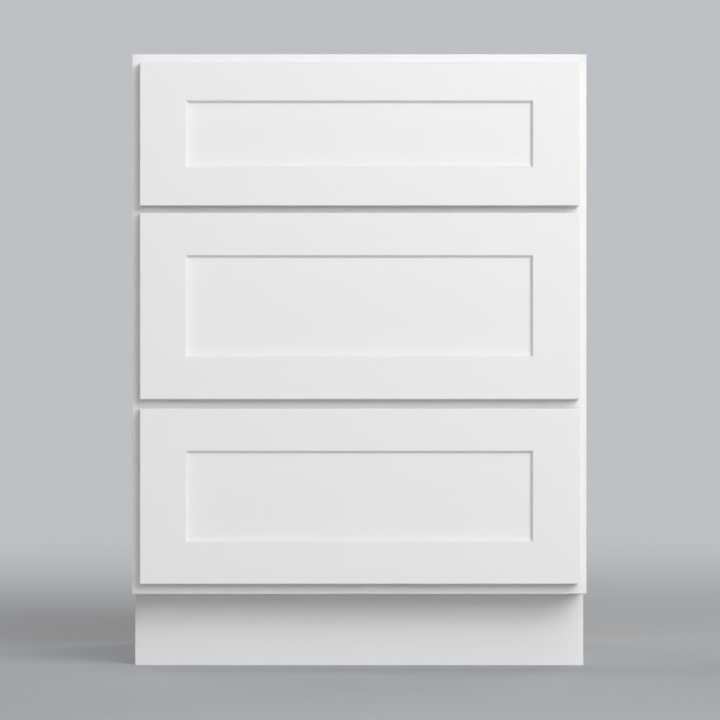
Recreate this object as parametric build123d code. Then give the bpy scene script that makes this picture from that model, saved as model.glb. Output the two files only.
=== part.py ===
from build123d import *
from dataclasses import dataclass
import os

# A three-drawer base cabinet with a face frame, recessed-panel drawer fronts and a recessed toe kick.
# Sizes are in millimetres. X runs across the cabinet, Y from its front to its back, and Z up.
# The origin is on the floor, midway across the width and the depth.

# ------------------------------------------------------------------------------------------------
# Driving dimensions
# ------------------------------------------------------------------------------------------------

# From the faces of the drawer fronts to the back
cabinet_depth = 600.0

# Face frame: two stiles with four rails tenoned between them
frame_width = 606.0
frame_thickness = 19.0
frame_stile_width = 38.0
frame_rail_width = 38.0
frame_edge_radius = 1.0
frame_tenon_length = 12.0
frame_tenon_thickness = 8.0
frame_tenon_shoulder = 6.0

# Drawer fronts and the gaps between them, down the face: together they set the cabinet's height
top_reveal = 12.5
top_front_height = 190.5
upper_gap = 9.5
middle_front_height = 248.0
lower_gap = 12.0
bottom_front_height = 233.5
bottom_reveal = 14.0
side_reveal = 11.0

# Each drawer front: stiles and rails with a bevelled inner edge, round a thin panel
front_thickness = 19.0
front_stile_face = 61.0
top_front_rail_face = 50.5
lower_front_rail_face = 56.0
front_bevel_width = 3.5
front_recess_depth = 6.0
front_panel_thickness = 7.0
front_groove_depth = 8.0
front_groove_clearance = 0.2
front_tenon_shoulder = 8.0
front_edge_radius = 1.6

# Carcass
frame_overhang = 0.5
side_thickness = 15.0
bottom_thickness = 15.0
bottom_set_down = 15.0
back_thickness = 12.0
dado_depth = 6.0
back_rabbet_width = 9.0
back_rail_thickness = 15.0
back_rail_height = 100.0
toe_height = 100.0
toe_recess = 76.0
toe_skin_thickness = 6.0
toe_board_thickness = 12.0

# Corner blocks, each with a hole for a worktop screw
corner_block_leg = 90.0
corner_block_tip = 18.0
corner_block_thickness = 19.0
corner_hole_inset = 32.0
corner_hole_radius = 3.0

# Bumper pads between the frame and the drawer fronts
bumper_radius = 5.0
bumper_thickness = 1.8
bumper_gap = 0.2
bumper_inset = 8.0

# Drawer boxes: dovetailed boards round a thin bottom
box_side_thickness = 16.0
box_end_thickness = 16.0
box_side_clearance = 5.0
box_clearance_below = 14.0
box_clearance_above = 10.0
box_rear_clearance = 6.0
box_bottom_thickness = 6.0
box_bottom_recess = 13.0
box_groove_depth = 6.0
box_groove_clearance = 0.2
box_edge_radius = 1.5
tail_pitch = 25.0
tail_length = 12.0
tail_slope = 1.0 / 7.0
pin_neck_width = 6.0

# Runners: under each side of a drawer, a channel rolls on a carriage along a fixed track
drawer_travel = 400.0
runner_steel = 1.5
runner_bend_radius = 0.6
runner_seat_gap = 0.5
track_front_inset = 2.0
track_flange_height = 25.5
track_base_margin = 5.0
track_web_thickness = 2.0
track_head_width = 9.0
track_head_thickness = 2.0
track_start_clearance = 1.0
track_stop_height = 5.0
channel_width = 18.0
channel_height = 19.0
channel_lip_width = 3.0
channel_side_clearance = 1.0
channel_start_clearance = 0.5
carriage_clearance = 0.4
carriage_top_clearance = 2.0
carriage_stop_clearance = 1.0
roller_radius = 4.65
roller_clearance = 0.1
roller_pocket_clearance = 0.25
roller_pitch = 26.0
roller_end_inset = 17.0

# Hooks at the rear of the channels, and the notches in the box back that let the runners through
hook_pin_radius = 2.5
hook_pin_length = 8.0
hook_pin_rise = 8.0
hook_plate_margin = 1.5
hook_hole_clearance = 0.4
notch_clearance = 2.0

# Brackets that carry the rear ends of the tracks from the cabinet back
bracket_thickness = 3.0
bracket_reach = 30.0
bracket_track_overlap = 12.0
bracket_plate_drop = 6.0
bracket_plate_rise = 24.0
bracket_plate_overhang = 4.0
bracket_cheek_height = 16.0

# Clips that lock the box front to the channels
clip_gap = 0.5
clip_width = 20.0
clip_depth = 38.0
clip_thickness = 10.0
clip_nose_radius = 4.0
clip_flange_width = 16.0
clip_flange_height = 12.0
clip_flange_thickness = 3.0
clip_tongue_width = 8.0
clip_tongue_height = 5.0
clip_tongue_reach = 1.0
clip_tongue_setback = 8.0
clip_slot_clearance = 0.3

# Screws
screw_shank_radius = 1.7
screw_head_radius = 3.2
screw_crown_radius = 2.3
screw_head_height = 1.5
screw_recess_span = 3.0
screw_recess_width = 0.9
screw_recess_depth = 1.1
screw_hole_clearance = 0.1
front_screw_length = 25.0
front_screw_inset = 5.0
front_screw_rise = 20.0
front_screw_drop = 24.0
clip_screw_length = 12.0
track_screw_length = 14.0
track_screw_low = 8.0
track_screw_high = 20.0
bracket_screw_length = 12.0
bracket_screw_rise = 12.0
bracket_screw_inset = 8.0

# ------------------------------------------------------------------------------------------------
# Planes and levels worked out from them
# ------------------------------------------------------------------------------------------------

frame_half = frame_width / 2
carcass_half = frame_half - frame_overhang
inner_half = carcass_half - side_thickness
opening_half = frame_half - frame_stile_width
front_half = frame_half - side_reveal
box_half = opening_half - box_side_clearance
box_inner_half = box_half - box_side_thickness
channel_outer_x = box_inner_half - channel_side_clearance
channel_inner_x = channel_outer_x - channel_width
channel_x = (channel_outer_x + channel_inner_x) / 2
track_inner_x = channel_x - track_web_thickness / 2 - track_base_margin

bumper_space = bumper_thickness + bumper_gap
face_y = -cabinet_depth / 2
front_back_y = face_y + front_thickness
frame_y = front_back_y + bumper_space
carcass_y = frame_y + frame_thickness
back_y = cabinet_depth / 2
back_inner_y = back_y - back_thickness
toe_face_y = frame_y + toe_recess
toe_notch_y = toe_face_y + toe_skin_thickness
box_front_inner_y = front_back_y + box_end_thickness
bracket_y = back_inner_y - bracket_reach
box_rear_y = bracket_y - box_rear_clearance
box_back_inner_y = box_rear_y - box_end_thickness
channel_y = box_front_inner_y + channel_start_clearance
track_y = box_front_inner_y + track_start_clearance
track_rear_y = bracket_y + bracket_track_overlap

fronts_height = top_front_height + middle_front_height + bottom_front_height
gaps_height = top_reveal + upper_gap + lower_gap + bottom_reveal
cabinet_height = toe_height + fronts_height + gaps_height
bottom_top_z = toe_height + frame_rail_width - bottom_set_down
bottom_z = bottom_top_z - bottom_thickness


@dataclass
class DrawerSpace:
    """The levels of one drawer, from its name, its front and its opening in the frame."""

    name: str
    rail_face: float
    front_foot: float
    front_head: float
    opening_foot: float
    opening_head: float

    def __post_init__(self):
        self.box_foot = self.opening_foot + box_clearance_below
        self.box_head = self.opening_head - box_clearance_above
        self.runner_foot = self.opening_foot + runner_seat_gap
        self.track_base_top = self.runner_foot + runner_steel
        self.channel_top = self.box_foot + box_bottom_recess
        self.channel_foot = self.channel_top - channel_height
        self.channel_roof = self.channel_top - runner_steel
        self.track_head_top = self.channel_roof - 2 * (roller_radius + roller_clearance)
        self.track_head_foot = self.track_head_top - track_head_thickness
        self.hook_z = self.channel_top + box_bottom_thickness + hook_pin_rise


def drawer_spaces():
    """The three drawers from the top. Each middle rail of the frame is centred behind a gap."""
    top_foot = cabinet_height - top_reveal - top_front_height
    middle_head = top_foot - upper_gap
    middle_foot = middle_head - middle_front_height
    bottom_head = middle_foot - lower_gap
    bottom_foot = bottom_head - bottom_front_height
    half_rail = frame_rail_width / 2
    upper_rail_z = (top_foot + middle_head) / 2
    lower_rail_z = (middle_foot + bottom_head) / 2
    top = DrawerSpace(
        name="top_drawer",
        rail_face=top_front_rail_face,
        front_foot=top_foot,
        front_head=top_foot + top_front_height,
        opening_foot=upper_rail_z + half_rail,
        opening_head=cabinet_height - frame_rail_width,
    )
    middle = DrawerSpace(
        name="middle_drawer",
        rail_face=lower_front_rail_face,
        front_foot=middle_foot,
        front_head=middle_head,
        opening_foot=lower_rail_z + half_rail,
        opening_head=upper_rail_z - half_rail,
    )
    bottom = DrawerSpace(
        name="bottom_drawer",
        rail_face=lower_front_rail_face,
        front_foot=bottom_foot,
        front_head=bottom_head,
        opening_foot=toe_height + frame_rail_width,
        opening_head=lower_rail_z - half_rail,
    )
    return [top, middle, bottom]


drawers = drawer_spaces()


# ------------------------------------------------------------------------------------------------
# Helpers
# ------------------------------------------------------------------------------------------------


def block(x, y, z):
    """A box between the (low, high) limits given along each axis."""
    size = [high - low for low, high in (x, y, z)]
    centre = [(high + low) / 2 for low, high in (x, y, z)]
    return Pos(*centre) * Box(*size)


def both_sides(*right_parts):
    """The right-hand parts and their mirror images on the left."""
    return [*right_parts, *(mirror(part, about=Plane.YZ) for part in right_parts)]


def rod(point, direction, radius, length):
    """A cylinder that starts at the point and runs along the direction."""
    shape = Cylinder(radius, length, align=(Align.CENTER, Align.CENTER, Align.MIN))
    return Plane(origin=point, z_dir=direction) * shape


def bent_strip(points, y_front, y_back):
    """A strip of runner steel, bent along (x, z) points that follow its outer face."""
    line = FilletPolyline(*points, radius=runner_bend_radius + runner_steel)
    outline = offset(line, amount=runner_steel, side=Side.LEFT, closed=True)
    section = Plane.XZ.offset(-y_back) * make_face(outline)
    return extrude(section, amount=y_back - y_front)


@dataclass
class Fixing:
    """A screw: the point where its head bears, the way its head faces, and its length."""

    point: tuple
    outward: tuple
    length: float

    def screw(self):
        """A pan-head screw with a cross recess, in place."""
        crown = Cone(screw_head_radius, screw_crown_radius, screw_head_height)
        head = Pos(0, 0, screw_head_height / 2) * crown
        recess_foot = screw_head_height - screw_recess_depth
        for x, y in ((screw_recess_span, screw_recess_width), (screw_recess_width, screw_recess_span)):
            head -= block((-x / 2, x / 2), (-y / 2, y / 2), (recess_foot, screw_head_height))
        shank = rod(self.point, self.inward(), screw_shank_radius, self.length)
        return Plane(origin=self.point, z_dir=self.outward) * head + shank

    def hole(self):
        """The hole that the screw needs."""
        radius = screw_shank_radius + screw_hole_clearance
        return rod(self.point, self.inward(), radius, self.length + screw_hole_clearance)

    def inward(self):
        return tuple(-part for part in self.outward)


def save(name, solids):
    """Writes one node, which holds one or more separate solids."""
    flat = [solid for shape in solids for solid in shape.solids()]
    shape = flat[0] if len(flat) == 1 else Compound(children=flat)
    export_step(shape, f"parts/{name}.step")


# ------------------------------------------------------------------------------------------------
# Face frame
# ------------------------------------------------------------------------------------------------


def frame_tenons(rail_foot, rail_head):
    """The tenons at the two ends of a frame rail."""
    middle_y = (frame_y + carcass_y) / 2
    y = (middle_y - frame_tenon_thickness / 2, middle_y + frame_tenon_thickness / 2)
    z = (rail_foot + frame_tenon_shoulder, rail_head - frame_tenon_shoulder)
    return both_sides(block((opening_half, opening_half + frame_tenon_length), y, z))


def track_fixings(drawer):
    """The two screws that hold the front of the right-hand track to the stile."""
    x = opening_half - runner_steel
    y = (frame_y + carcass_y) / 2
    heights = (drawer.opening_foot + track_screw_low, drawer.opening_foot + track_screw_high)
    return [Fixing((x, y, z), (-1, 0, 0), track_screw_length) for z in heights]


def face_frame():
    """The stiles and rails, cut from one eased outline so that their faces run through."""
    y = (frame_y, carcass_y)
    outline = block((-frame_half, frame_half), y, (toe_height, cabinet_height))
    outline = fillet(outline.faces().sort_by(Axis.Y)[0].edges(), frame_edge_radius)
    stile = outline & block((opening_half, frame_half), y, (toe_height, cabinet_height))
    heads = [cabinet_height] + [drawer.opening_foot for drawer in drawers]
    feet = [drawer.opening_head for drawer in drawers] + [toe_height]
    for position, foot, head in zip(["top", "upper", "lower", "bottom"], feet, heads):
        rail = outline & block((-opening_half, opening_half), y, (foot, head))
        tenons = frame_tenons(foot, head)
        stile -= tenons[0]
        save(f"frame_{position}_rail", [rail + tenons])
    stile -= [fixing.hole() for drawer in drawers for fixing in track_fixings(drawer)]
    right, left = both_sides(stile)
    save("frame_right_stile", [right])
    save("frame_left_stile", [left])


def bumpers():
    """Round pads on the frame behind the corners of each drawer front."""
    pads = []
    for drawer in drawers:
        for z in (drawer.front_foot + bumper_inset, drawer.front_head - bumper_inset):
            point = (front_half - bumper_inset, frame_y, z)
            pads += both_sides(rod(point, (0, -1, 0), bumper_radius, bumper_thickness))
    save("frame_bumpers", pads)


# ------------------------------------------------------------------------------------------------
# Carcass
# ------------------------------------------------------------------------------------------------


def bottom_board():
    """The cabinet floor, with its ends in the dadoes of the side panels."""
    half = inner_half + dado_depth
    return block((-half, half), (carcass_y, back_inner_y), (bottom_z, bottom_top_z))


def back_board():
    """The back, in the rabbets of the side panels and down to the floor."""
    half = inner_half + back_rabbet_width
    return block((-half, half), (back_inner_y, back_y), (0, cabinet_height))


def side_panels():
    """Side panels with the toe notch, the dado for the floor and the rabbet for the back."""
    x = (inner_half, carcass_half)
    panel = block(x, (carcass_y, back_y), (0, cabinet_height))
    notch = block(x, (carcass_y, toe_notch_y), (0, toe_height))
    right, left = both_sides(panel - notch - bottom_board() - back_board())
    save("right_side_panel", [right])
    save("left_side_panel", [left])


def bracket_fixings(drawer):
    """The two screws that hold the right-hand rear bracket to the cabinet back."""
    y = back_inner_y - bracket_thickness
    z = drawer.opening_foot + bracket_screw_rise
    across = (opening_half - bracket_screw_inset, track_inner_x + bracket_screw_inset)
    return [Fixing((x, y, z), (0, -1, 0), bracket_screw_length) for x in across]


def back_and_bottom():
    """The back with its bracket screw holes, the cabinet floor, and the rail that hangs it."""
    holes = [fixing.hole() for drawer in drawers for fixing in bracket_fixings(drawer)]
    save("back_panel", [back_board() - both_sides(*holes)])
    save("bottom_panel", [bottom_board()])
    rail_y = (back_inner_y - back_rail_thickness, back_inner_y)
    rail_z = (cabinet_height - back_rail_height, cabinet_height)
    save("top_back_rail", [block((-inner_half, inner_half), rail_y, rail_z)])


def toe_kick():
    """The board between the side panels, and the skin that covers it and their front edges."""
    board_y = (toe_notch_y, toe_notch_y + toe_board_thickness)
    save("toe_kick_board", [block((-inner_half, inner_half), board_y, (0, bottom_z))])
    skin_y = (toe_face_y, toe_notch_y)
    save("toe_kick_skin", [block((-carcass_half, carcass_half), skin_y, (0, toe_height))])


def corner_blocks():
    """Blocks across the four top corners, each with a hole for a worktop screw."""
    leg, tip = corner_block_leg, corner_block_tip
    outline = Polyline((0, 0), (leg, 0), (leg, tip), (tip, leg), (0, leg), (0, 0))
    shape = extrude(make_face(outline), amount=corner_block_thickness)
    hole_foot = (corner_hole_inset, corner_hole_inset, 0)
    shape -= rod(hole_foot, (0, 0, 1), corner_hole_radius, corner_block_thickness)
    foot = cabinet_height - corner_block_thickness
    rear_y = back_inner_y - back_rail_thickness
    front_left = Pos(-inner_half, carcass_y, foot) * shape
    rear_left = Pos(-inner_half, rear_y, foot) * mirror(shape, about=Plane.XZ)
    save("corner_blocks", both_sides(front_left, rear_left))


# ------------------------------------------------------------------------------------------------
# Fixed half of the runners
# ------------------------------------------------------------------------------------------------


def fixed_track(drawer):
    """The right-hand track: a bent flange and base, and a T-shaped rail with a stop at its front."""
    points = [
        (track_inner_x, drawer.runner_foot),
        (opening_half, drawer.runner_foot),
        (opening_half, drawer.runner_foot + track_flange_height),
    ]
    track = bent_strip(points, frame_y + track_front_inset, track_rear_y)
    web_x = (channel_x - track_web_thickness / 2, channel_x + track_web_thickness / 2)
    head_x = (channel_x - track_head_width / 2, channel_x + track_head_width / 2)
    y = (track_y, track_rear_y)
    stop_y = (track_y, track_y + runner_steel)
    stop_z = (drawer.track_head_top, drawer.track_head_top + track_stop_height)
    track += block(web_x, y, (drawer.track_base_top, drawer.track_head_foot))
    track += block(head_x, y, (drawer.track_head_foot, drawer.track_head_top))
    track += block(head_x, stop_y, stop_z)
    return track - [fixing.hole() for fixing in track_fixings(drawer)]


def rear_bracket(drawer):
    """The right-hand socket on the cabinet back that carries the rear end of a track."""
    seat_z = drawer.runner_foot
    inner_x = track_inner_x - bracket_plate_overhang
    outer_x = opening_half + bracket_thickness
    plate_y = (back_inner_y - bracket_thickness, back_inner_y)
    arm_y = (bracket_y, back_inner_y)
    plate_z = (drawer.opening_foot - bracket_plate_drop, drawer.opening_foot + bracket_plate_rise)
    bracket = block((inner_x, outer_x + bracket_plate_overhang), plate_y, plate_z)
    bracket += block((inner_x, outer_x), arm_y, (seat_z - bracket_thickness, seat_z))
    bracket += block((opening_half, outer_x), arm_y, (seat_z, seat_z + bracket_cheek_height))
    return bracket - [fixing.hole() for fixing in bracket_fixings(drawer)]


def fixed_runners():
    """Tracks, rear brackets and their screws at all three openings."""
    fixings = []
    for drawer in drawers:
        fixings += track_fixings(drawer) + bracket_fixings(drawer)
    save("runner_tracks", both_sides(*[fixed_track(drawer) for drawer in drawers]))
    save("runner_brackets", both_sides(*[rear_bracket(drawer) for drawer in drawers]))
    save("runner_screws", both_sides(*[fixing.screw() for fixing in fixings]))


# ------------------------------------------------------------------------------------------------
# Drawer front
# ------------------------------------------------------------------------------------------------


def front_fixings(drawer):
    """The two screws on the right that hold a drawer front to its box."""
    x = box_inner_half - front_screw_inset
    low = drawer.channel_top + box_bottom_thickness + front_screw_rise
    high = drawer.box_head - front_screw_drop
    return [Fixing((x, box_front_inner_y, z), (0, 1, 0), front_screw_length) for z in (low, high)]


def front_rim(drawer, half, low, high):
    """A front's rim in one piece, with rounded outer edges and a bevel down to its opening."""
    y = (face_y, front_back_y)
    rim = block((-front_half, front_half), y, (drawer.front_foot, drawer.front_head))
    rim = fillet(rim.faces().sort_by(Axis.Y)[0].edges(), front_edge_radius)
    centre = Pos(0, (low + high) / 2)
    wide = Rectangle(2 * (half + front_bevel_width), high - low + 2 * front_bevel_width)
    narrow = Rectangle(2 * half, high - low)
    mouth = Plane.XZ.offset(-face_y) * centre * wide
    throat = Plane.XZ.offset(-face_y - front_recess_depth) * centre * narrow
    return rim - loft([mouth.face(), throat.face()]) - block((-half, half), y, (low, high))


def drawer_front(drawer):
    """Two stiles, two rails and the panel that floats in their grooves."""
    name, foot, head = drawer.name, drawer.front_foot, drawer.front_head
    rail_depth = drawer.rail_face + front_bevel_width
    half = front_half - front_stile_face - front_bevel_width
    low, high = foot + rail_depth, head - rail_depth
    panel_y = (face_y + front_recess_depth, face_y + front_recess_depth + front_panel_thickness)

    def panel_block(reach):
        return block((-half - reach, half + reach), panel_y, (low - reach, high + reach))

    rim = front_rim(drawer, half, low, high) - panel_block(front_groove_depth)
    holes = both_sides(*[fixing.hole() for fixing in front_fixings(drawer)])
    y = (face_y, front_back_y)
    stile = rim & block((half, front_half), y, (foot, head))
    rails = {"bottom": (foot, low), "top": (high, head)}
    tenon_limits = {
        "bottom": (foot + front_tenon_shoulder, low - front_groove_depth),
        "top": (high + front_groove_depth, head - front_tenon_shoulder),
    }
    for position, limits in rails.items():
        rail = rim & block((-half, half), y, limits)
        tenon = block((half, half + front_groove_depth), panel_y, tenon_limits[position])
        stile -= tenon
        save(f"{name}_front_{position}_rail", [rail + both_sides(tenon) - holes])
    right, left = both_sides(stile)
    save(f"{name}_front_right_stile", [right - holes])
    save(f"{name}_front_left_stile", [left - holes])
    save(f"{name}_front_panel", [panel_block(front_groove_depth - front_groove_clearance) - holes])


# ------------------------------------------------------------------------------------------------
# Drawer box
# ------------------------------------------------------------------------------------------------


def tails(drawer):
    """The dovetails at both ends of the right-hand box side."""
    height = drawer.box_head - drawer.box_foot
    count = max(1, round(height / tail_pitch))
    pitch = height / count
    tip_half = (pitch - pin_neck_width) / 2
    root_half = tip_half - tail_length * tail_slope
    shapes = []
    for root_y, way in ((box_front_inner_y, -1), (box_back_inner_y, 1)):
        tip_y = root_y + way * tail_length
        for index in range(count):
            z = drawer.box_foot + (index + 0.5) * pitch
            outline = Polyline(
                (root_y, z - root_half),
                (tip_y, z - tip_half),
                (tip_y, z + tip_half),
                (root_y, z + root_half),
                close=True,
            )
            face = Plane.YZ.offset(box_inner_half) * make_face(outline)
            shapes.append(extrude(face, amount=box_side_thickness))
    return shapes


def eased_board(x, y, z, along):
    """A board whose two top edges that run along the given axis are rounded."""
    board = block(x, y, z)
    return fillet(board.edges().filter_by(along).group_by(Axis.Z)[-1], box_edge_radius)


def box_bottom_block(drawer, reach):
    """The box bottom, reaching this far into the boards round it."""
    x = (-box_inner_half - reach, box_inner_half + reach)
    y = (box_front_inner_y - reach, box_back_inner_y + reach)
    return block(x, y, (drawer.channel_top, drawer.channel_top + box_bottom_thickness))


def back_cuts(drawer):
    """The notches in the box back that let the runners through, and the holes for the hooks."""
    x = (channel_inner_x - notch_clearance, box_inner_half)
    notch = block(x, (box_back_inner_y, box_rear_y), (drawer.box_foot, drawer.channel_top))
    radius = hook_pin_radius + hook_hole_clearance
    depth = hook_pin_length + hook_hole_clearance
    hole = rod((channel_x, box_rear_y, drawer.hook_z), (0, -1, 0), radius, depth)
    return both_sides(notch, hole)


def clip_fixing(drawer):
    """The screw that holds the right-hand locking clip to the box front."""
    x = channel_inner_x - clip_gap - clip_width - clip_flange_width / 2
    y = box_front_inner_y + clip_flange_thickness
    z = drawer.channel_top - clip_flange_height / 2
    return Fixing((x, y, z), (0, 1, 0), clip_screw_length)


def drawer_box(drawer):
    """Two sides with tails, a front and a back with pins, and a bottom let into all four."""
    name = drawer.name
    z = (drawer.box_foot, drawer.box_head)
    groove = box_bottom_block(drawer, box_groove_depth)
    side_y = (box_front_inner_y, box_back_inner_y)
    side = eased_board((box_inner_half, box_half), side_y, z, Axis.Y)
    right, left = both_sides(side + tails(drawer) - groove)
    save(f"{name}_box_right_side", [right])
    save(f"{name}_box_left_side", [left])
    sockets = both_sides(*tails(drawer))
    fixings = front_fixings(drawer) + [clip_fixing(drawer)]
    holes = both_sides(*[fixing.hole() for fixing in fixings])
    x = (-box_half, box_half)
    front = eased_board(x, (front_back_y, box_front_inner_y), z, Axis.X)
    save(f"{name}_box_front", [front - sockets - groove - holes])
    back = eased_board(x, (box_back_inner_y, box_rear_y), z, Axis.X)
    save(f"{name}_box_back", [back - sockets - groove - back_cuts(drawer)])
    save(f"{name}_box_bottom", [box_bottom_block(drawer, box_groove_depth - box_groove_clearance)])
    save(f"{name}_screws", both_sides(*[fixing.screw() for fixing in fixings]))


# ------------------------------------------------------------------------------------------------
# Moving half of the runners
# ------------------------------------------------------------------------------------------------


def clip_tongue(drawer, clearance):
    """The tongue that the right-hand clip puts through the channel's wall, grown by a clearance."""
    middle_y = box_front_inner_y + clip_tongue_setback + clip_tongue_width / 2
    middle_z = drawer.channel_top - clip_thickness / 2
    half_width = clip_tongue_width / 2 + clearance
    half_height = clip_tongue_height / 2 + clearance
    x = (channel_inner_x - clip_gap, channel_inner_x + runner_steel + clip_tongue_reach)
    y = (middle_y - half_width, middle_y + half_width)
    return block(x, y, (middle_z - half_height, middle_z + half_height))


def moving_channel(drawer):
    """The right-hand channel under the box, with its rear hook and a slot for the locking clip."""
    foot, top = drawer.channel_foot, drawer.channel_top
    points = [
        (channel_outer_x - channel_lip_width, foot),
        (channel_outer_x, foot),
        (channel_outer_x, top),
        (channel_inner_x, top),
        (channel_inner_x, foot),
        (channel_inner_x + channel_lip_width, foot),
    ]
    plate_x = (channel_inner_x + runner_steel, channel_outer_x - runner_steel)
    plate_y = (box_rear_y, box_rear_y + runner_steel)
    plate_foot = drawer.track_head_top + carriage_stop_clearance
    plate_head = drawer.hook_z + hook_pin_radius + hook_plate_margin
    channel = bent_strip(points, channel_y, plate_y[1])
    channel += block(plate_x, plate_y, (plate_foot, plate_head))
    hook_root = (channel_x, box_rear_y, drawer.hook_z)
    channel += rod(hook_root, (0, -1, 0), hook_pin_radius, hook_pin_length)
    return channel - clip_tongue(drawer, clip_slot_clearance)


def roller_carriage(drawer):
    """The right-hand roller cage and its rollers. It fits between the two stops at full travel."""
    front_stop_y = track_y + runner_steel
    length = box_rear_y - drawer_travel - front_stop_y - 2 * carriage_stop_clearance
    middle_y = (front_stop_y + box_rear_y) / 2
    y = (middle_y - length / 2, middle_y + length / 2)
    half = channel_width / 2 - runner_steel - carriage_clearance
    leg_half = track_head_width / 2 + carriage_clearance
    cage_foot = drawer.track_head_top + carriage_clearance
    leg_foot = drawer.channel_foot + runner_steel + carriage_clearance
    cage_z = (cage_foot, drawer.channel_roof - carriage_top_clearance)
    cage = block((channel_x - half, channel_x + half), y, cage_z)
    cage += block((channel_x - half, channel_x - leg_half), y, (leg_foot, cage_foot))
    cage += block((channel_x + leg_half, channel_x + half), y, (leg_foot, cage_foot))
    run = length - 2 * roller_end_inset
    gaps = max(1, round(run / roller_pitch))
    axle_z = drawer.channel_roof - roller_clearance - roller_radius
    roller_x = channel_x - track_head_width / 2
    pocket_x = roller_x - roller_pocket_clearance
    pocket_radius = roller_radius + roller_pocket_clearance
    pocket_width = track_head_width + 2 * roller_pocket_clearance
    rollers = []
    for index in range(gaps + 1):
        axle_y = y[0] + roller_end_inset + index * run / gaps
        cage -= rod((pocket_x, axle_y, axle_z), (1, 0, 0), pocket_radius, pocket_width)
        rollers.append(rod((roller_x, axle_y, axle_z), (1, 0, 0), roller_radius, track_head_width))
    return [cage, *rollers]


def locking_clip(drawer):
    """The right-hand clip: a body under the box bottom, a screwed flange and a tongue."""
    top = drawer.channel_top
    x_out = channel_inner_x - clip_gap
    x_in = x_out - clip_width
    front_y = box_front_inner_y
    body = block((x_in, x_out), (front_y, front_y + clip_depth), (top - clip_thickness, top))
    nose = body.edges().filter_by(Axis.X).group_by(Axis.Y)[-1].sort_by(Axis.Z)[0]
    body = fillet(nose, clip_nose_radius)
    flange_y = (front_y, front_y + clip_flange_thickness)
    flange = block((x_in - clip_flange_width, x_in), flange_y, (top - clip_flange_height, top))
    return body + flange + clip_tongue(drawer, 0) - clip_fixing(drawer).hole()


def drawer_runners(drawer):
    """The moving channels, roller carriages and locking clips of one drawer."""
    save(f"{drawer.name}_runner_channels", both_sides(moving_channel(drawer)))
    save(f"{drawer.name}_roller_carriages", both_sides(*roller_carriage(drawer)))
    save(f"{drawer.name}_locking_clips", both_sides(locking_clip(drawer)))


os.makedirs("parts", exist_ok=True)
face_frame()
bumpers()
side_panels()
back_and_bottom()
toe_kick()
corner_blocks()
fixed_runners()
for drawer in drawers:
    drawer_front(drawer)
    drawer_box(drawer)
    drawer_runners(drawer)
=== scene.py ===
from dataclasses import dataclass
import math

import bmesh
import bpy
from mathutils import Matrix, Vector


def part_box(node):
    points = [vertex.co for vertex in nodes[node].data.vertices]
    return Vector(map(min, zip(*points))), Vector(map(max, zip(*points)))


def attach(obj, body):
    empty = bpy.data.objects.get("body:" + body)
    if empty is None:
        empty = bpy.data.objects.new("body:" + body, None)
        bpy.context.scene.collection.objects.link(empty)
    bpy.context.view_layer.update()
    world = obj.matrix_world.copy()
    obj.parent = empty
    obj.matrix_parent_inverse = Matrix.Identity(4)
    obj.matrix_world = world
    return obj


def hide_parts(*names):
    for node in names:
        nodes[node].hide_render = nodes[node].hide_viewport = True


# The looks of a three-drawer base cabinet with a face frame: its finishes, its clear bumper pads and a
# plain studio. Everything is in metres, in the cabinet's own frame: X runs across it, Y from its front to
# its back, and Z up from the floor.

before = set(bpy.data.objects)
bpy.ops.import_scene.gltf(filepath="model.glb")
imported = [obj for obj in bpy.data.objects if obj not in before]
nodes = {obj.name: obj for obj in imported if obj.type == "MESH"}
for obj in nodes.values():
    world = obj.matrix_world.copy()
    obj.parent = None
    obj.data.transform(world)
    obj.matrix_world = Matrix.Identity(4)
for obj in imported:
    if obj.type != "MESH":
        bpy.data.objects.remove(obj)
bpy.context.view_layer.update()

MM = 0.001

# ------------------------------------------------------------------------------------------------
# Real sizes
# ------------------------------------------------------------------------------------------------

DRAWERS = ("top_drawer", "middle_drawer", "bottom_drawer")

# Bumper pads, behind the corners of each drawer front
PAD_INSET = 8.0 * MM
PAD_RADIUS = 5.0 * MM
PAD_ROUNDING = 1.3 * MM
PAD_ROUNDING_STEPS = 5
PAD_SIDES = 40

# Sanded edges of the boards. Corners of a board's mesh that lie within this reach of each other are one
# corner, and triangles that lie flat to each other are one face.
EASED_EDGE = 0.4 * MM
EASED_EDGE_STEPS = 2
WELD_REACH = 0.005 * MM
FLAT_ANGLE = math.radians(1.0)
EDGE_ANGLE = math.radians(40.0)

# Camera: level and near the middle line, as in the photograph
SENSOR = 36.0
LENS = 221.95
CAMERA_TO_FACE_FRAME = 5.92
CAMERA_RIGHT_OF_MIDDLE = 0.9 * MM
CAMERA_HEIGHT = 0.412

# Studio
STUDIO_GREY = "#bec0c3"
FLOOR_RADIUS = 40.0
FLOOR_SIDES = 64
FLOOR_FADE_START = 0.9
FLOOR_FADE_END = 4.5
AMBIENT = 0.12
LIGHT_TARGET = Vector((0.0, -0.28, 0.42))


# ------------------------------------------------------------------------------------------------
# Helpers
# ------------------------------------------------------------------------------------------------

# How square to an axis a surface has to lie to count as facing along it
FACING_FROM = 0.7

# Nearly all of a noise texture's values lie between these
NOISE_LOW = 0.3
NOISE_HIGH = 0.7


def linear(colour):
    """An sRGB hex colour as the linear values that a colour socket takes."""
    parts = [int(colour[start:start + 2], 16) / 255 for start in (1, 3, 5)]
    straight = [part / 12.92 if part <= 0.04045 else ((part + 0.055) / 1.055) ** 2.4 for part in parts]
    return (*straight, 1.0)


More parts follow.
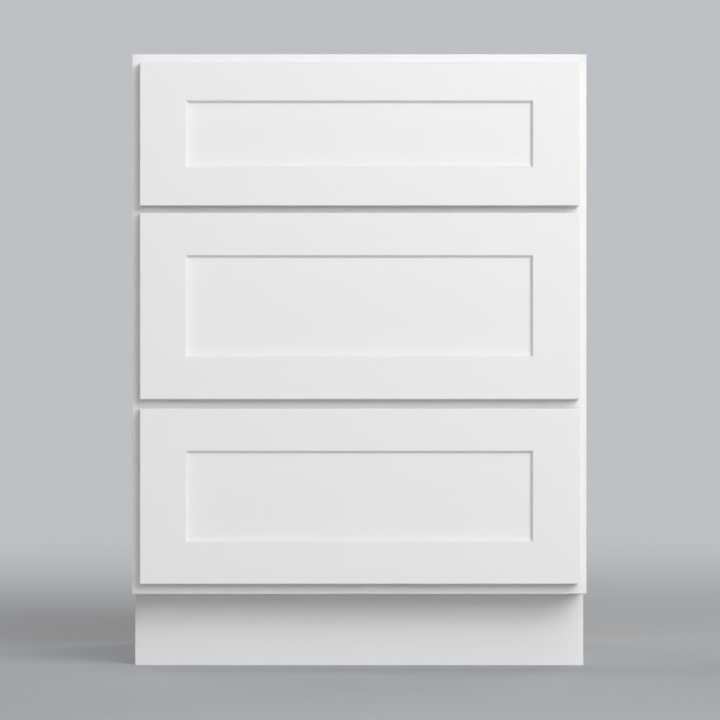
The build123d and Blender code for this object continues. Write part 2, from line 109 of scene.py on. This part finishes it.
def add(tree, kind, inputs=None, **settings):
    """Adds one node. Each input, named by its identifier, gets a value or a link from another node."""
    node = tree.nodes.new(kind)
    for name, value in settings.items():
        setattr(node, name, value)
    sockets = {socket.identifier: socket for socket in node.inputs}
    for name, value in (inputs or {}).items():
        if isinstance(value, bpy.types.NodeSocket):
            tree.links.new(value, sockets[name])
        else:
            sockets[name].default_value = value
    return node


def new_material(name):
    """An empty material and its node tree."""
    made = bpy.data.materials.new(name)
    made.use_nodes = True
    made.node_tree.nodes.clear()
    return made, made.node_tree


def facing(tree, axis):
    """1 where a surface faces along an axis, either way, and 0 on the rest."""
    normal = add(tree, "ShaderNodeTexCoord").outputs["Normal"]
    part = add(tree, "ShaderNodeSeparateXYZ", {"Vector": normal}).outputs[axis]
    size = add(tree, "ShaderNodeMath", {"Value": part}, operation="ABSOLUTE").outputs["Value"]
    inputs = {"Value": size, "Value_001": FACING_FROM}
    return add(tree, "ShaderNodeMath", inputs, operation="GREATER_THAN").outputs["Value"]


def middle(node):
    """The centre of a CAD node's box."""
    low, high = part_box(node)
    return (low + high) / 2


# ------------------------------------------------------------------------------------------------
# Paint
# ------------------------------------------------------------------------------------------------

LACQUER_WHITE = "#f2f1f0"
LACQUER_IOR = 1.5
LACQUER_ROUGHNESS = 0.4
LACQUER_SHEEN_DRIFT = 0.04
LACQUER_SHEEN_CLOUD = 70.0 * MM
LACQUER_EDGE_ROUGHNESS = 0.68
LACQUER_PEEL = 5.0 * MM
LACQUER_PEEL_DEPTH = 0.01 * MM


def lacquer_peel(tree, place):
    """The faint orange peel of a sprayed coat. Real peel is about 1 mm across, drawn coarser to show."""
    peel = add(tree, "ShaderNodeTexNoise", {
        "Vector": place,
        "Scale": 1 / LACQUER_PEEL,
        "Detail": 1.0,
    }).outputs["Fac"]
    inputs = {"Height": peel, "Distance": LACQUER_PEEL_DEPTH}
    return add(tree, "ShaderNodeBump", inputs).outputs["Normal"]


def lacquer_sheen(tree, place):
    """The coat's roughness. It drifts a little over a hand's width, as the passes of the spray gun overlap.
    The upper and lower edges, which get a thinner coat, are duller."""
    passes = add(tree, "ShaderNodeTexNoise", {
        "Vector": place,
        "Scale": 1 / LACQUER_SHEEN_CLOUD,
        "Detail": 2.0,
    }).outputs["Fac"]
    sheen = add(tree, "ShaderNodeMapRange", {
        "Value": passes,
        "From Min": NOISE_LOW,
        "From Max": NOISE_HIGH,
        "To Min": LACQUER_ROUGHNESS - LACQUER_SHEEN_DRIFT,
        "To Max": LACQUER_ROUGHNESS + LACQUER_SHEEN_DRIFT,
    }).outputs["Result"]
    inputs = {"Value": facing(tree, "Z"), "To Min": sheen, "To Max": LACQUER_EDGE_ROUGHNESS}
    return add(tree, "ShaderNodeMapRange", inputs).outputs["Result"]


def sprayed_lacquer():
    """White conversion varnish, sprayed on and cured: a satin sheen over a very flat, opaque white."""
    made, tree = new_material("sprayed_white_lacquer")
    place = add(tree, "ShaderNodeTexCoord").outputs["Object"]
    shader = add(tree, "ShaderNodeBsdfPrincipled", {
        "Base Color": linear(LACQUER_WHITE),
        "Roughness": lacquer_sheen(tree, place),
        "IOR": LACQUER_IOR,
        "Normal": lacquer_peel(tree, place),
    })
    add(tree, "ShaderNodeOutputMaterial", {"Surface": shader.outputs["BSDF"]})
    return made


# ------------------------------------------------------------------------------------------------
# Wood
# ------------------------------------------------------------------------------------------------

# The turn that lays the Z axis of a wood pattern along each axis of the cabinet
GRAIN_TURNS = {"X": (0, 90, 0), "Y": (-90, 0, 0), "Z": (0, 0, 0)}

# How much longer than wide the wood's markings are
GRAIN_STRETCH = 22.0

# Widths of the markings, in the millimetres of a wood's own space. Real fibres and pores are about 0.2 mm
# wide, drawn coarser to show.
RING_WIDTH = 3.2
VENEER_CLOUD = 90.0
TONE_CLOUD = 35.0
FIBRE_WIDTH = 1.1

# The wave texture's rings lie this far apart at a scale of 1
WAVE_PERIOD = math.pi / 10

# Sawn rings: how far they wander, at which scale, and how thin their dark lines are
RING_WANDER = 9.0
RING_WANDER_SCALE = 0.3
RING_SHARPNESS = 5.0

# Peeled rings: how much shorter their contours are than other markings, how many levels they follow, and how
# thin their dark lines are
CONTOUR_SHORTENING = 2.6
CONTOUR_LEVELS = 14.0
CONTOUR_SHARPNESS = 3.0

# How much of a wood's darkness comes from its rings, its tone and its fibres, and how much is taken off
MAPLE_SHARES = (0.3, 0.62, 0.45)
BIRCH_SHARES = (0.2, 0.62, 0.45)
FIGURE_LIGHTENING = 0.28

# Colours where the wood is palest and where it is darkest
MAPLE_FACE = ("#ecdabb", "#c7a377")
MAPLE_END = ("#d6b98c", "#a57c4e")
BIRCH_VENEER = ("#ead4ac", "#c39d68")

# A birch plywood's edge: plies cut along and across their grain in turn, and the glue at the seams, which
# darkens this share of a ply on each side
PLY_ALONG = "#dfc292"
PLY_ACROSS = "#b08450"
PLY_GLUE = "#7a5836"
PLY_GLUE_SHARE = 0.09

# How far under its painted face a board takes the paint's colour
PAINT_REACH = 0.5 * MM

VARNISH_IOR = 1.5
VARNISH_ROUGHNESS = 0.4
BARE_ROUGHNESS = 0.7
MAPLE_FIBRE_DEPTH = 0.04 * MM
BIRCH_FIBRE_DEPTH = 0.03 * MM


@dataclass
class Cut:
    """How a board was cut from its tree: the axis that its grain follows, the way from the board's middle
    to the heart in millimetres, and how the grain is tilted about each axis in degrees."""

    grain: str
    heart: tuple
    tilt: tuple


@dataclass
class Plywood:
    """A plywood board: the cut of its veneers, the axis through its plies, their number and its faces'
    roughness. Its painted side is -1 for the lower face along that axis, 1 for the upper one, 0 for none."""

    cut: Cut
    through: str
    plies: int
    painted_side: int = 0
    roughness: float = VARNISH_ROUGHNESS


def wood_space(tree, node, cut):
    """Millimetres from the heart of the tree that a board was cut from, with Z stretched along its grain."""
    turn = Vector(GRAIN_TURNS[cut.grain]) + Vector(cut.tilt)
    return add(tree, "ShaderNodeMapping", {
        "Vector": add(tree, "ShaderNodeTexCoord").outputs["Object"],
        "Location": middle(node) + Vector(cut.heart) * MM,
        "Rotation": [math.radians(angle) for angle in turn],
        "Scale": (MM, MM, MM * GRAIN_STRETCH),
    }, vector_type="TEXTURE").outputs["Vector"]


def sawn_rings(tree, space):
    """Growth rings as a flat saw cut shows them: thin lines of late wood that run into long arches."""
    rings = add(tree, "ShaderNodeTexWave", {
        "Vector": space,
        "Scale": WAVE_PERIOD / RING_WIDTH,
        "Distortion": RING_WANDER,
        "Detail": 2.0,
        "Detail Scale": RING_WANDER_SCALE,
    }, wave_type="RINGS", rings_direction="Z", wave_profile="SAW").outputs["Fac"]
    inputs = {"Value": rings, "Value_001": RING_SHARPNESS}
    return add(tree, "ShaderNodeMath", inputs, operation="POWER").outputs["Value"]


def peeled_rings(tree, space):
    """Growth rings as a peeled veneer shows them: broad, wandering contours, like those of a map."""
    inputs = {"Vector": space, "Vector_001": (1, 1, CONTOUR_SHORTENING)}
    shorter = add(tree, "ShaderNodeVectorMath", inputs, operation="MULTIPLY").outputs["Vector"]
    slope = add(tree, "ShaderNodeTexNoise", {
        "Vector": shorter,
        "Scale": 1 / VENEER_CLOUD,
        "Detail": 2.0,
        "Roughness": 0.4,
    }).outputs["Fac"]
    inputs = {"Value": slope, "Value_001": CONTOUR_LEVELS}
    level = add(tree, "ShaderNodeMath", inputs, operation="MULTIPLY").outputs["Value"]
    inputs = {"Value": level, "Value_001": 1.0}
    contour = add(tree, "ShaderNodeMath", inputs, operation="PINGPONG").outputs["Value"]
    inputs = {"Value": contour, "Value_001": CONTOUR_SHARPNESS}
    return add(tree, "ShaderNodeMath", inputs, operation="POWER").outputs["Value"]


def wood_figure(tree, space, rings, shares):
    """How dark a wood is, from 0 to 1, by its rings, its slow changes of tone and its short fibres, and
    then the fibres alone."""
    tone = add(tree, "ShaderNodeTexNoise", {
        "Vector": space,
        "Scale": 1 / TONE_CLOUD,
        "Detail": 2.0,
    }).outputs["Fac"]
    fibres = add(tree, "ShaderNodeTexNoise", {
        "Vector": space,
        "Scale": 1 / FIBRE_WIDTH,
        "Detail": 3.0,
        "Roughness": 0.7,
    }).outputs["Fac"]
    figure = -FIGURE_LIGHTENING
    for part, share in zip((rings, tone, fibres), shares):
        inputs = {"Value": part, "Value_001": share, "Value_002": figure}
        figure = add(tree, "ShaderNodeMath", inputs, operation="MULTIPLY_ADD").outputs["Value"]
    return add(tree, "ShaderNodeClamp", {"Value": figure}).outputs["Result"], fibres


def figured(tree, figure, colours):
    """A wood's colour: the first of its two colours where its figure is pale, the second where it's dark."""
    pale, dark = (linear(colour) for colour in colours)
    inputs = {"Factor_Float": figure, "A_Color": pale, "B_Color": dark}
    return add(tree, "ShaderNodeMix", inputs, data_type="RGBA").outputs["Result"]


def varnished(made, tree, colour, faces, roughness, fibres, fibre_depth):
    """Ends a wood's material: its colour, its open fibres, and the roughness of its faces. A thin, clear,
    satin varnish covers them. The edges soak it up, so they are as dull as bare wood."""
    bump = add(tree, "ShaderNodeBump", {"Height": fibres, "Distance": fibre_depth})
    inputs = {"Value": faces, "To Min": BARE_ROUGHNESS, "To Max": roughness}
    rough = add(tree, "ShaderNodeMapRange", inputs).outputs["Result"]
    shader = add(tree, "ShaderNodeBsdfPrincipled", {
        "Base Color": colour,
        "Roughness": rough,
        "IOR": VARNISH_IOR,
        "Normal": bump.outputs["Normal"],
    })
    add(tree, "ShaderNodeOutputMaterial", {"Surface": shader.outputs["BSDF"]})
    return made


def solid_maple(node, cut):
    """Hard maple, planed and clear-coated: pale cream with quiet rings, and darker where the grain ends."""
    made, tree = new_material(f"solid_maple_{node}")
    space = wood_space(tree, node, cut)
    figure, fibres = wood_figure(tree, space, sawn_rings(tree, space), MAPLE_SHARES)
    ends = facing(tree, cut.grain)
    colour = add(tree, "ShaderNodeMix", {
        "Factor_Float": ends,
        "A_Color": figured(tree, figure, MAPLE_FACE),
        "B_Color": figured(tree, figure, MAPLE_END),
    }, data_type="RGBA").outputs["Result"]
    inputs = {"Value": ends, "Value_001": facing(tree, "Z")}
    edges = add(tree, "ShaderNodeMath", inputs, operation="MAXIMUM").outputs["Value"]
    inputs = {"Value": 1.0, "Value_001": edges}
    faces = add(tree, "ShaderNodeMath", inputs, operation="SUBTRACT").outputs["Value"]
    return varnished(made, tree, colour, faces, VARNISH_ROUGHNESS, fibres, MAPLE_FIBRE_DEPTH)


def ply_stripes(tree, through, low, high, plies):
    """The colour of a plywood's edge, by the place between the two faces. Real plies are about 1.4 mm
    thick. They are drawn thicker, to show."""
    ply = add(tree, "ShaderNodeMapRange", {
        "Value": through,
        "From Min": low,
        "From Max": high,
        "To Max": float(plies),
    }).outputs["Result"]
    inputs = {"Value": ply, "Value_001": 2.0}
    pair = add(tree, "ShaderNodeMath", inputs, operation="MODULO").outputs["Value"]
    inputs = {"Value": pair, "Value_001": 1.0}
    crossed = add(tree, "ShaderNodeMath", inputs, operation="GREATER_THAN").outputs["Value"]
    inputs = {"Value": ply, "Value_001": 0.5}
    seam = add(tree, "ShaderNodeMath", inputs, operation="PINGPONG").outputs["Value"]
    inputs = {"Value": seam, "Value_001": PLY_GLUE_SHARE}
    glued = add(tree, "ShaderNodeMath", inputs, operation="LESS_THAN").outputs["Value"]
    stripes = add(tree, "ShaderNodeMix", {
        "Factor_Float": crossed,
        "A_Color": linear(PLY_ALONG),
        "B_Color": linear(PLY_ACROSS),
    }, data_type="RGBA").outputs["Result"]
    return add(tree, "ShaderNodeMix", {
        "Factor_Float": glued,
        "A_Color": stripes,
        "B_Color": linear(PLY_GLUE),
    }, data_type="RGBA").outputs["Result"]


def painted(tree, colour, through, outside):
    """A board's colour with white paint over the face that lies at the given place."""
    inputs = {"Value": through, "Value_001": outside}
    offset = add(tree, "ShaderNodeMath", inputs, operation="SUBTRACT").outputs["Value"]
    distance = add(tree, "ShaderNodeMath", {"Value": offset}, operation="ABSOLUTE").outputs["Value"]
    inputs = {"Value": distance, "Value_001": PAINT_REACH}
    bare = add(tree, "ShaderNodeMath", inputs, operation="GREATER_THAN").outputs["Value"]
    inputs = {"Factor_Float": bare, "A_Color": linear(LACQUER_WHITE), "B_Color": colour}
    return add(tree, "ShaderNodeMix", inputs, data_type="RGBA").outputs["Result"]


def layered_birch(node, board):
    """Birch plywood: a quiet peeled veneer on its faces, and its plies in stripes along its edges."""
    made, tree = new_material(f"birch_plywood_{node}")
    space = wood_space(tree, node, board.cut)
    figure, fibres = wood_figure(tree, space, peeled_rings(tree, space), BIRCH_SHARES)
    low, high = (corner["XYZ".index(board.through)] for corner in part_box(node))
    place = add(tree, "ShaderNodeTexCoord").outputs["Object"]
    through = add(tree, "ShaderNodeSeparateXYZ", {"Vector": place}).outputs[board.through]
    faces = facing(tree, board.through)
    colour = add(tree, "ShaderNodeMix", {
        "Factor_Float": faces,
        "A_Color": ply_stripes(tree, through, low, high, board.plies),
        "B_Color": figured(tree, figure, BIRCH_VENEER),
    }, data_type="RGBA").outputs["Result"]
    if board.painted_side:
        colour = painted(tree, colour, through, low if board.painted_side < 0 else high)
    return varnished(made, tree, colour, faces, board.roughness, fibres, BIRCH_FIBRE_DEPTH)


# ------------------------------------------------------------------------------------------------
# Metal and plastic
# ------------------------------------------------------------------------------------------------

# Rolled steel: how much longer than wide its lines are, and how deep, and the clouds of its passivated layer
STEEL_LINE_STRETCH = 60
STEEL_LINE_DEPTH = 0.02 * MM
STEEL_CLOUD = 14.0 * MM
STEEL_SHEEN_DRIFT = 0.07

PLASTIC_GRAIN = 1.5 * MM
PLASTIC_GRAIN_DEPTH = 0.02 * MM
PLASTIC_SHEEN_DRIFT = 0.08
PLASTIC_IOR = 1.48

POLYURETHANE_TINT = "#eef0f0"
POLYURETHANE_HAZE = 2.0 * MM
POLYURETHANE_GLOSSIEST = 0.04
POLYURETHANE_DULLEST = 0.16
POLYURETHANE_OPACITY = 0.45
POLYURETHANE_IOR = 1.49


def rolled_steel(name, colour, roughness, line_width):
    """Zinc-plated steel: bright under a thin, cloudy passivated layer, with fine lines along Y where it was
    rolled. Real lines are about 0.1 mm wide, drawn coarser to show."""
    made, tree = new_material(name)
    lines = add(tree, "ShaderNodeMapping", {
        "Vector": add(tree, "ShaderNodeTexCoord").outputs["Object"],
        "Scale": (line_width, line_width * STEEL_LINE_STRETCH, line_width),
    }, vector_type="TEXTURE").outputs["Vector"]
    rolled = add(tree, "ShaderNodeTexNoise", {"Vector": lines, "Scale": 1.0, "Detail": 2.0}).outputs["Fac"]
    clouds = add(tree, "ShaderNodeTexNoise", {
        "Vector": add(tree, "ShaderNodeTexCoord").outputs["Object"],
        "Scale": 1 / STEEL_CLOUD,
        "Detail": 2.0,
    }).outputs["Fac"]
    rough = add(tree, "ShaderNodeMapRange", {
        "Value": clouds,
        "From Min": NOISE_LOW,
        "From Max": NOISE_HIGH,
        "To Min": roughness - STEEL_SHEEN_DRIFT,
        "To Max": roughness + STEEL_SHEEN_DRIFT,
    }).outputs["Result"]
    bump = add(tree, "ShaderNodeBump", {"Height": rolled, "Distance": STEEL_LINE_DEPTH})
    shader = add(tree, "ShaderNodeBsdfPrincipled", {
        "Base Color": linear(colour),
        "Metallic": 1.0,
        "Roughness": rough,
        "Normal": bump.outputs["Normal"],
    })
    add(tree, "ShaderNodeOutputMaterial", {"Surface": shader.outputs["BSDF"]})
    return made


def moulded_plastic(name, colour, roughness):
    """Injection-moulded plastic: an even colour, with the spark-eroded texture of its mould. Real grains
    are about 0.1 mm across, drawn coarser to show."""
    made, tree = new_material(name)
    grain = add(tree, "ShaderNodeTexNoise", {
        "Vector": add(tree, "ShaderNodeTexCoord").outputs["Object"],
        "Scale": 1 / PLASTIC_GRAIN,
        "Detail": 2.0,
    }).outputs["Fac"]
    rough = add(tree, "ShaderNodeMapRange", {
        "Value": grain,
        "To Min": roughness - PLASTIC_SHEEN_DRIFT,
        "To Max": roughness + PLASTIC_SHEEN_DRIFT,
    }).outputs["Result"]
    bump = add(tree, "ShaderNodeBump", {"Height": grain, "Distance": PLASTIC_GRAIN_DEPTH})
    shader = add(tree, "ShaderNodeBsdfPrincipled", {
        "Base Color": linear(colour),
        "Roughness": rough,
        "IOR": PLASTIC_IOR,
        "Normal": bump.outputs["Normal"],
    })
    add(tree, "ShaderNodeOutputMaterial", {"Surface": shader.outputs["BSDF"]})
    return made


def clear_polyurethane():
    """Cast clear polyurethane: soft, glossy and faintly milky, so that the white shows through it."""
    made, tree = new_material("clear_polyurethane")
    haze = add(tree, "ShaderNodeTexNoise", {
        "Vector": add(tree, "ShaderNodeTexCoord").outputs["Object"],
        "Scale": 1 / POLYURETHANE_HAZE,
    }).outputs["Fac"]
    rough = add(tree, "ShaderNodeMapRange", {
        "Value": haze,
        "To Min": POLYURETHANE_GLOSSIEST,
        "To Max": POLYURETHANE_DULLEST,
    }).outputs["Result"]
    shader = add(tree, "ShaderNodeBsdfPrincipled", {
        "Base Color": linear(POLYURETHANE_TINT),
        "Roughness": rough,
        "IOR": POLYURETHANE_IOR,
        "Alpha": POLYURETHANE_OPACITY,
    })
    add(tree, "ShaderNodeOutputMaterial", {"Surface": shader.outputs["BSDF"]})
    return made


# ------------------------------------------------------------------------------------------------
# Dressing the cabinet's pieces
# ------------------------------------------------------------------------------------------------

# From each drawer to the next, its boards are cut this much further out in the tree, in millimetres
NEXT_CUT = 37


def dress(name, finish):
    """Gives a CAD node a finish."""
    mesh = nodes[name].data
    mesh.materials.clear()
    mesh.materials.append(finish)


def ease_edges(name):
    """Takes the sharp edges off a board, as sanding does."""
    piece = nodes[name]
    weld = piece.modifiers.new("welded_corners", "WELD")
    weld.merge_threshold = WELD_REACH
    flat = piece.modifiers.new("flat_faces", "DECIMATE")
    flat.decimate_type = "DISSOLVE"
    flat.angle_limit = FLAT_ANGLE
    eased = piece.modifiers.new("eased_edges", "BEVEL")
    eased.width = EASED_EDGE
    eased.segments = EASED_EDGE_STEPS
    eased.limit_method = "ANGLE"
    eased.angle_limit = EDGE_ANGLE
    eased.harden_normals = True


def dress_carcass():
    """The plywood boards of the carcass. The sides are painted outside, and the cabinet floor underneath.
    The worktop hides the corner blocks, so they are left raw."""
    boards = {
        "left_side_panel": Plywood(Cut("Z", (-120, 160, 0), (1.6, 0, 0)), "X", 7, painted_side=-1),
        "right_side_panel": Plywood(Cut("Z", (130, -90, 0), (-1.4, 0, 0)), "X", 7, painted_side=1),
        "bottom_panel": Plywood(Cut("X", (0, 70, -110), (0, 0, 1.2)), "Z", 7, painted_side=-1),
        "back_panel": Plywood(Cut("Z", (90, 150, 0), (0, 1.5, 0)), "Y", 5),
        "top_back_rail": Plywood(Cut("X", (0, 95, 30), (0, 0, 1.0)), "Y", 7),
        "toe_kick_board": Plywood(Cut("X", (0, 85, -20), (0, 0, 1.0)), "Y", 5),
        "corner_blocks": Plywood(Cut("X", (0, 60, 90), (0, 0, 1.2)), "Z", 7, roughness=BARE_ROUGHNESS),
    }
    for name, board in boards.items():
        dress(name, layered_birch(name, board))
        ease_edges(name)


def dress_drawer(name, index):
    """One drawer's box. Each board is cut from another part of the tree, so no two have the same figure."""
    shift = NEXT_CUT * index
    boards = {
        "box_left_side": Cut("Y", (-95 - shift, 0, 55 - shift), (0, 0, 1.3)),
        "box_right_side": Cut("Y", (110 + shift, 0, 20 + shift), (0, 0, -1.1)),
        "box_front": Cut("X", (0, -80 - shift, 35 + shift), (0, 0, 1.2)),
        "box_back": Cut("X", (0, 100 + shift, 60 - shift), (0, 0, -1.4)),
    }
    for part, cut in boards.items():
        node = f"{name}_{part}"
        dress(node, solid_maple(node, cut))
        ease_edges(node)
    bottom = f"{name}_box_bottom"
    dress(bottom, layered_birch(bottom, Plywood(Cut("Y", (60 + shift, 0, -90), (1.2, 0, 0)), "Z", 3)))


def dress_all():
    """Every CAD node's finish: lacquer, unless it is hardware or a plain wooden board."""
    lacquer = sprayed_lacquer()
    steel = rolled_steel("zinc_plated_steel", "#c3c7cb", roughness=0.34, line_width=0.9 * MM)
    hardware = {
        "_tracks": steel,
        "_brackets": steel,
        "_channels": steel,
        "_screws": rolled_steel("bright_screw_steel", "#b5b4b0", roughness=0.3, line_width=0.5 * MM),
        "_carriages": moulded_plastic("natural_acetal", "#e8e6dc", roughness=0.42),
        "_clips": moulded_plastic("clip_nylon", "#65676a", roughness=0.48),
    }
    for name in nodes:
        ending = name[name.rindex("_"):]
        dress(name, hardware.get(ending, lacquer))
    dress_carcass()
    for index, name in enumerate(DRAWERS):
        dress_drawer(name, index)


# ------------------------------------------------------------------------------------------------
# Bumper pads
# ------------------------------------------------------------------------------------------------


def pad_centres(y):
    """The middles of the twelve pads, behind the corners of each drawer front."""
    centres = []
    for drawer in DRAWERS:
        low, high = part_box(f"{drawer}_front_left_stile")
        for side in (-1, 1):
            for z in (low.z + PAD_INSET, high.z - PAD_INSET):
                centres.append(Vector((side * (low.x + PAD_INSET), y, z)))
    return centres


def add_dome(mesh, centre, thickness):
    """One pad: a disc that lies against the face frame, with its front rim rounded."""
    made = bmesh.ops.create_cone(
        mesh,
        cap_ends=True,
        segments=PAD_SIDES,
        radius1=PAD_RADIUS,
        radius2=PAD_RADIUS,
        depth=thickness,
        matrix=Matrix.Translation(centre) @ Matrix.Rotation(math.radians(90), 4, "X"),
    )
    front = {vertex for vertex in made["verts"] if vertex.co.y < centre.y}
    bmesh.ops.bevel(
        mesh,
        geom=[edge for edge in mesh.edges if front.issuperset(edge.verts)],
        offset=PAD_ROUNDING,
        segments=PAD_ROUNDING_STEPS,
        profile=0.5,
        affect="EDGES",
        material=-1,
    )


def bumper_pads(finish):
    """Twelve clear domes on the face frame, in the places of the plain pads."""
    low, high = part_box("frame_bumpers")
    mesh = bmesh.new()
    for centre in pad_centres((low.y + high.y) / 2):
        add_dome(mesh, centre, high.y - low.y)
    data = bpy.data.meshes.new("bumper_domes")
    mesh.to_mesh(data)
    mesh.free()
    data.materials.append(finish)
    data.shade_smooth()
    domes = bpy.data.objects.new("bumper_domes", data)
    bpy.context.scene.collection.objects.link(domes)
    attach(domes, "cabinet")
    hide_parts("frame_bumpers")


# ------------------------------------------------------------------------------------------------
# Studio
# ------------------------------------------------------------------------------------------------


def background_rays(tree):
    """1 for the rays that see the studio: from the camera, in a reflection or through something clear."""
    path = add(tree, "ShaderNodeLightPath")
    seen = path.outputs["Is Camera Ray"]
    for kind in ("Is Glossy Ray", "Is Transmission Ray"):
        inputs = {"Value": seen, "Value_001": path.outputs[kind]}
        seen = add(tree, "ShaderNodeMath", inputs, operation="MAXIMUM").outputs["Value"]
    return seen


def studio_floor():
    """A large plain floor. It fades into the backdrop's colour with distance, so that no horizon shows."""
    made, tree = new_material("studio_floor")
    place = add(tree, "ShaderNodeTexCoord").outputs["Object"]
    distance = add(tree, "ShaderNodeVectorMath", {"Vector": place}, operation="LENGTH").outputs["Value"]
    fade = add(tree, "ShaderNodeMapRange", {
        "Value": distance,
        "From Min": FLOOR_FADE_START,
        "From Max": FLOOR_FADE_END,
    }, interpolation_type="SMOOTHSTEP").outputs["Result"]
    inputs = {"Value": fade, "Value_001": background_rays(tree)}
    seen = add(tree, "ShaderNodeMath", inputs, operation="MULTIPLY").outputs["Value"]
    matte = add(tree, "ShaderNodeBsdfDiffuse", {"Color": linear(STUDIO_GREY)}).outputs["BSDF"]
    glow = add(tree, "ShaderNodeEmission", {"Color": linear(STUDIO_GREY)}).outputs["Emission"]
    mixed = add(tree, "ShaderNodeMixShader", {"Fac": seen, "Shader": matte, "Shader_001": glow})
    add(tree, "ShaderNodeOutputMaterial", {"Surface": mixed.outputs["Shader"]})
    mesh = bmesh.new()
    bmesh.ops.create_circle(mesh, cap_ends=True, segments=FLOOR_SIDES, radius=FLOOR_RADIUS)
    data = bpy.data.meshes.new("studio_floor")
    mesh.to_mesh(data)
    mesh.free()
    data.materials.append(made)
    floor = bpy.data.objects.new("studio_floor", data)
    bpy.context.scene.collection.objects.link(floor)


def studio_world():
    """An even pale surround. The camera sees the backdrop's colour there, whatever light it gives."""
    world = bpy.data.worlds.new("studio_surround")
    bpy.context.scene.world = world
    world.use_nodes = True
    tree = world.node_tree
    tree.nodes.clear()
    white = (1.0, 1.0, 1.0, 1.0)
    light = add(tree, "ShaderNodeBackground", {"Color": white, "Strength": AMBIENT}).outputs["Background"]
    shown = add(tree, "ShaderNodeBackground", {"Color": linear(STUDIO_GREY)}).outputs["Background"]
    inputs = {"Fac": background_rays(tree), "Shader": light, "Shader_001": shown}
    mixed = add(tree, "ShaderNodeMixShader", inputs)
    add(tree, "ShaderNodeOutputWorld", {"Surface": mixed.outputs["Shader"]})


def softbox(name, azimuth, elevation, distance, width, height, power):
    """A soft light that faces the cabinet's middle. Azimuth 0 is in front of the cabinet, and 90 on its
    right. Its place is in degrees and metres, and its power in watts."""
    lamp = bpy.data.lights.new(name, "AREA")
    lamp.shape = "RECTANGLE"
    lamp.size = width
    lamp.size_y = height
    lamp.energy = power
    held = bpy.data.objects.new(name, lamp)
    bpy.context.scene.collection.objects.link(held)
    turn = math.radians(azimuth)
    rise = math.radians(elevation)
    away = Vector((math.sin(turn) * math.cos(rise), -math.cos(turn) * math.cos(rise), math.sin(rise)))
    held.location = LIGHT_TARGET + away * distance
    held.rotation_euler = (-away).to_track_quat("-Z", "Y").to_euler()
    held.visible_camera = False


def softboxes():
    """A main light on the upper right, a nearer one above it, fills in front and on the left, and two
    lights behind."""
    softbox("key", azimuth=33, elevation=20, distance=8.0, width=5.2, height=3.6, power=298)
    softbox("near_top", azimuth=25, elevation=40, distance=3.0, width=2.4, height=2.4, power=31.5)
    softbox("front_fill", azimuth=0, elevation=5, distance=10.0, width=5.0, height=5.0, power=92)
    softbox("left_fill", azimuth=-45, elevation=10, distance=8.0, width=3.0, height=3.0, power=27)
    softbox("left_side", azimuth=-105, elevation=15, distance=6.0, width=3.0, height=3.0, power=72)
    softbox("rear_right", azimuth=150, elevation=25, distance=6.0, width=3.0, height=3.0, power=82)
    softbox("rear_left", azimuth=-150, elevation=25, distance=6.0, width=3.0, height=3.0, power=82)


def camera():
    """A long lens, level with the middle of the cabinet."""
    lens = bpy.data.cameras.new("camera")
    lens.sensor_width = SENSOR
    lens.lens = LENS
    held = bpy.data.objects.new("camera", lens)
    bpy.context.scene.collection.objects.link(held)
    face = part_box("frame_left_stile")[0].y
    held.location = (CAMERA_RIGHT_OF_MIDDLE, face - CAMERA_TO_FACE_FRAME, CAMERA_HEIGHT)
    held.rotation_euler = (math.radians(90), 0, 0)
    bpy.context.scene.camera = held


# ------------------------------------------------------------------------------------------------
# The cabinet and its studio
# ------------------------------------------------------------------------------------------------

dress_all()
bumper_pads(clear_polyurethane())
studio_floor()
studio_world()
softboxes()
camera()
bpy.context.scene.view_settings.view_transform = "Standard"
